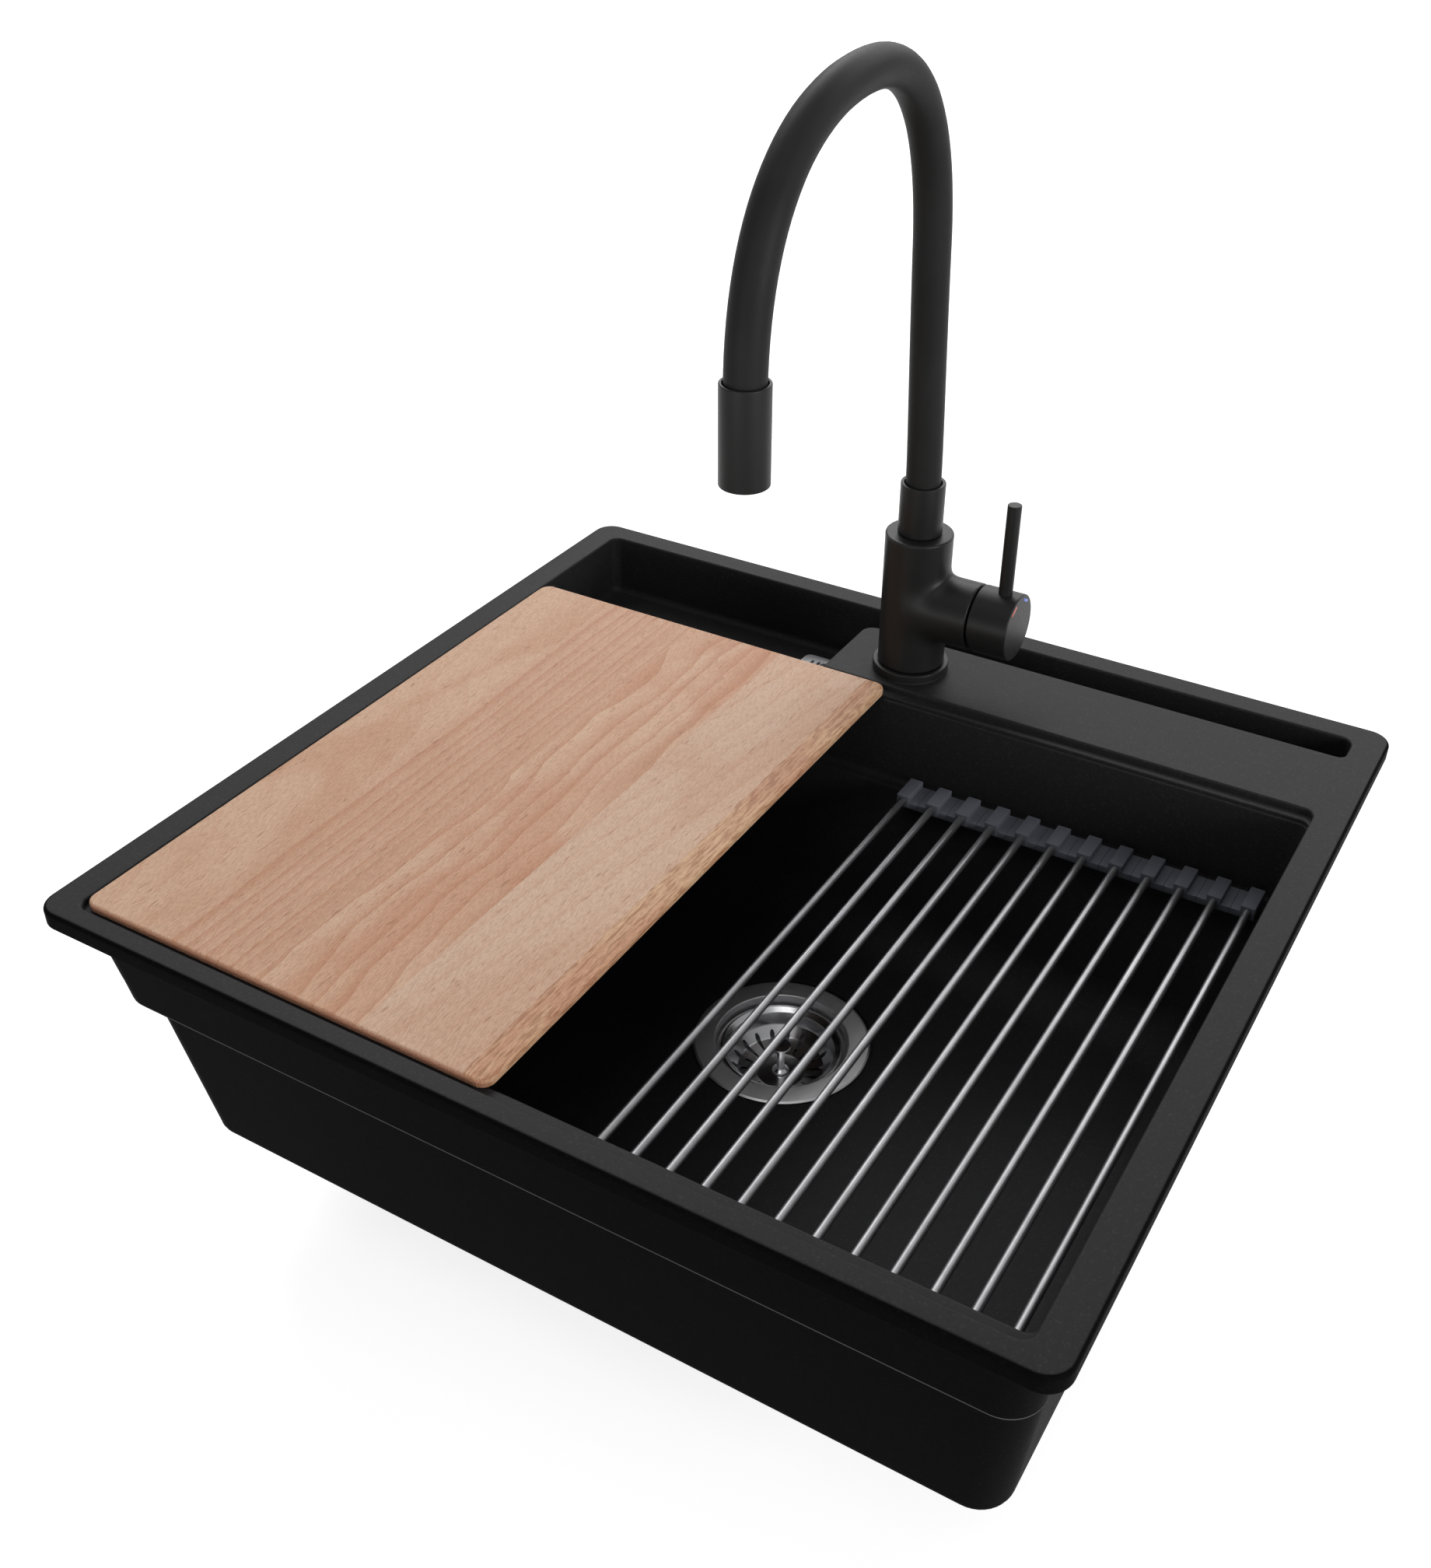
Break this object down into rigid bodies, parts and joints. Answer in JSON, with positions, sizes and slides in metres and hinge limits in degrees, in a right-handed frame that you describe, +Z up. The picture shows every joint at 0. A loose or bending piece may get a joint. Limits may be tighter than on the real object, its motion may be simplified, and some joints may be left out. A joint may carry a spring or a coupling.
{
  "type": "workstation kitchen sink",
  "caption": "Drop-in composite kitchen sink with a cutting board and a roll-up drying rack on ledges, a strainer drain, an overflow and a mixer tap with a flexible hose spout",
  "frame": {"origin": "The middle of the rim in plan, on the plane where the rim's underside rests on the worktop.", "axes": "+Z is up out of the bowl, +Y points to the back, where the tap stands, and +X to the right as the user sees it."},
  "size_m": [0.6, 0.562, 0.6522],
  "materials": {
    "granite_composite": "fine matte composite",
    "beech": "oiled beech",
    "satin_steel": "satin",
    "polished_steel": "polished",
    "rod_steel": "polished round bar",
    "link_silicone": "matte silicone",
    "black_tap": "matte powder coat",
    "hose_silicone": "smooth matte silicone",
    "seal_rubber": "matte",
    "drain_plastic": "moulded",
    "white_plastic": "moulded",
    "shank_brass": "machined",
    "hot_paint": "enamel",
    "cold_paint": "enamel"
  },
  "bodies": {
    "sink": {"sink_bowl": "granite_composite", "strainer_flange": "satin_steel", "strainer_gasket": "seal_rubber", "strainer_body": "drain_plastic", "body_gasket": "seal_rubber", "strainer_screw": "polished_steel", "overflow_cover": "satin_steel", "overflow_gasket": "seal_rubber", "overflow_screw": "polished_steel", "overflow_elbow": "drain_plastic", "base_seal": "seal_rubber", "tap_base_ring": "black_tap", "tap_body": "black_tap", "tap_shank": "shank_brass", "deck_washer": "seal_rubber", "deck_nut": "satin_steel", "spout_bush": "white_plastic", "cartridge_body": "white_plastic", "cartridge_nut": "shank_brass"},
    "spout": {"swivel_sleeve": "black_tap", "spout_o_rings": "seal_rubber", "spout_hose": "hose_silicone", "spray_head": "black_tap", "aerator": "drain_plastic"},
    "carrier": {"cartridge_carrier": "white_plastic", "carrier_pin": "polished_steel"},
    "lever": {"cartridge_stem": "shank_brass", "lever_cap": "black_tap", "lever_pin": "black_tap", "lever_set_screw": "satin_steel", "hot_mark": "hot_paint", "cold_mark": "cold_paint"},
    "board": {"cutting_board": "beech"},
    "basket": {"strainer_basket": "polished_steel", "basket_post": "polished_steel", "basket_stopper": "seal_rubber"},
    "rack_01": {"rack_rod_01": "rod_steel", "rack_link_01": "link_silicone"},
    "rack_02": {"rack_rod_02": "rod_steel", "rack_link_02": "link_silicone"},
    "rack_03": {"rack_rod_03": "rod_steel", "rack_link_03": "link_silicone"},
    "rack_04": {"rack_rod_04": "rod_steel", "rack_link_04": "link_silicone"},
    "rack_05": {"rack_rod_05": "rod_steel", "rack_link_05": "link_silicone"},
    "rack_06": {"rack_rod_06": "rod_steel", "rack_link_06": "link_silicone"},
    "rack_07": {"rack_rod_07": "rod_steel", "rack_link_07": "link_silicone"},
    "rack_08": {"rack_rod_08": "rod_steel", "rack_link_08": "link_silicone"},
    "rack_09": {"rack_rod_09": "rod_steel", "rack_link_09": "link_silicone"},
    "rack_10": {"rack_rod_10": "rod_steel", "rack_link_10": "link_silicone"},
    "rack_11": {"rack_rod_11": "rod_steel", "rack_link_11": "link_silicone"},
    "rack_12": {"rack_rod_12": "rod_steel", "rack_link_12": "link_silicone"}
  },
  "joints": [
    {"name": "spout_swivel", "type": "hinge", "parent": "sink", "child": "spout", "pos_m": [0, 0.202, 0.1105], "axis": [0, 0, 1], "range_deg": [-110, 110]},
    {"name": "lever_turn", "type": "hinge", "parent": "sink", "child": "carrier", "pos_m": [0.04, 0.202, 0.061], "axis": [1, 0, 0], "range_deg": [-45, 45]},
    {"name": "lever_lift", "type": "hinge", "parent": "carrier", "child": "lever", "pos_m": [0.046, 0.202, 0.061], "axis": [0, 1, 0], "range_deg": [0, 13]},
    {"name": "board_slide", "type": "slide", "parent": "sink", "child": "board", "axis": [1, 0, 0], "range_m": [0, 0.278]},
    {"name": "basket_lift", "type": "slide", "parent": "sink", "child": "basket", "axis": [0, 0, 1], "range_m": [0, 0.014]},
    {"name": "rack_slide", "type": "slide", "parent": "sink", "child": "rack_12", "axis": [-1, 0, 0], "range_m": [0, 0.28]},
    {"name": "rack_roll_11", "type": "hinge", "parent": "rack_12", "child": "rack_11", "pos_m": [0.24985, -0.048, -0.04745], "axis": [0, 1, 0], "range_deg": [0, 15]},
    {"name": "rack_roll_10", "type": "hinge", "parent": "rack_11", "child": "rack_10", "pos_m": [0.22909, -0.048, -0.04745], "axis": [0, 1, 0], "range_deg": [0, 15]},
    {"name": "rack_roll_09", "type": "hinge", "parent": "rack_10", "child": "rack_09", "pos_m": [0.20833, -0.048, -0.04745], "axis": [0, 1, 0], "range_deg": [0, 15]},
    {"name": "rack_roll_08", "type": "hinge", "parent": "rack_09", "child": "rack_08", "pos_m": [0.18757, -0.048, -0.04745], "axis": [0, 1, 0], "range_deg": [0, 15]},
    {"name": "rack_roll_07", "type": "hinge", "parent": "rack_08", "child": "rack_07", "pos_m": [0.16681, -0.048, -0.04745], "axis": [0, 1, 0], "range_deg": [0, 15]},
    {"name": "rack_roll_06", "type": "hinge", "parent": "rack_07", "child": "rack_06", "pos_m": [0.14605, -0.048, -0.04745], "axis": [0, 1, 0], "range_deg": [0, 15]},
    {"name": "rack_roll_05", "type": "hinge", "parent": "rack_06", "child": "rack_05", "pos_m": [0.12529, -0.048, -0.04745], "axis": [0, 1, 0], "range_deg": [0, 15]},
    {"name": "rack_roll_04", "type": "hinge", "parent": "rack_05", "child": "rack_04", "pos_m": [0.10453, -0.048, -0.04745], "axis": [0, 1, 0], "range_deg": [0, 15]},
    {"name": "rack_roll_03", "type": "hinge", "parent": "rack_04", "child": "rack_03", "pos_m": [0.08377, -0.048, -0.04745], "axis": [0, 1, 0], "range_deg": [0, 15]},
    {"name": "rack_roll_02", "type": "hinge", "parent": "rack_03", "child": "rack_02", "pos_m": [0.06301, -0.048, -0.04745], "axis": [0, 1, 0], "range_deg": [0, 15]},
    {"name": "rack_roll_01", "type": "hinge", "parent": "rack_02", "child": "rack_01", "pos_m": [0.04225, -0.048, -0.04745], "axis": [0, 1, 0], "range_deg": [0, 15]}
  ],
  "couplings": [
    {"joint": "rack_roll_10", "follows": "rack_roll_11", "ratio": 1},
    {"joint": "rack_roll_09", "follows": "rack_roll_11", "ratio": 1},
    {"joint": "rack_roll_08", "follows": "rack_roll_11", "ratio": 1},
    {"joint": "rack_roll_07", "follows": "rack_roll_11", "ratio": 1},
    {"joint": "rack_roll_06", "follows": "rack_roll_11", "ratio": 1},
    {"joint": "rack_roll_05", "follows": "rack_roll_11", "ratio": 1},
    {"joint": "rack_roll_04", "follows": "rack_roll_11", "ratio": 1},
    {"joint": "rack_roll_03", "follows": "rack_roll_11", "ratio": 1},
    {"joint": "rack_roll_02", "follows": "rack_roll_11", "ratio": 1},
    {"joint": "rack_roll_01", "follows": "rack_roll_11", "ratio": 1}
  ]
}
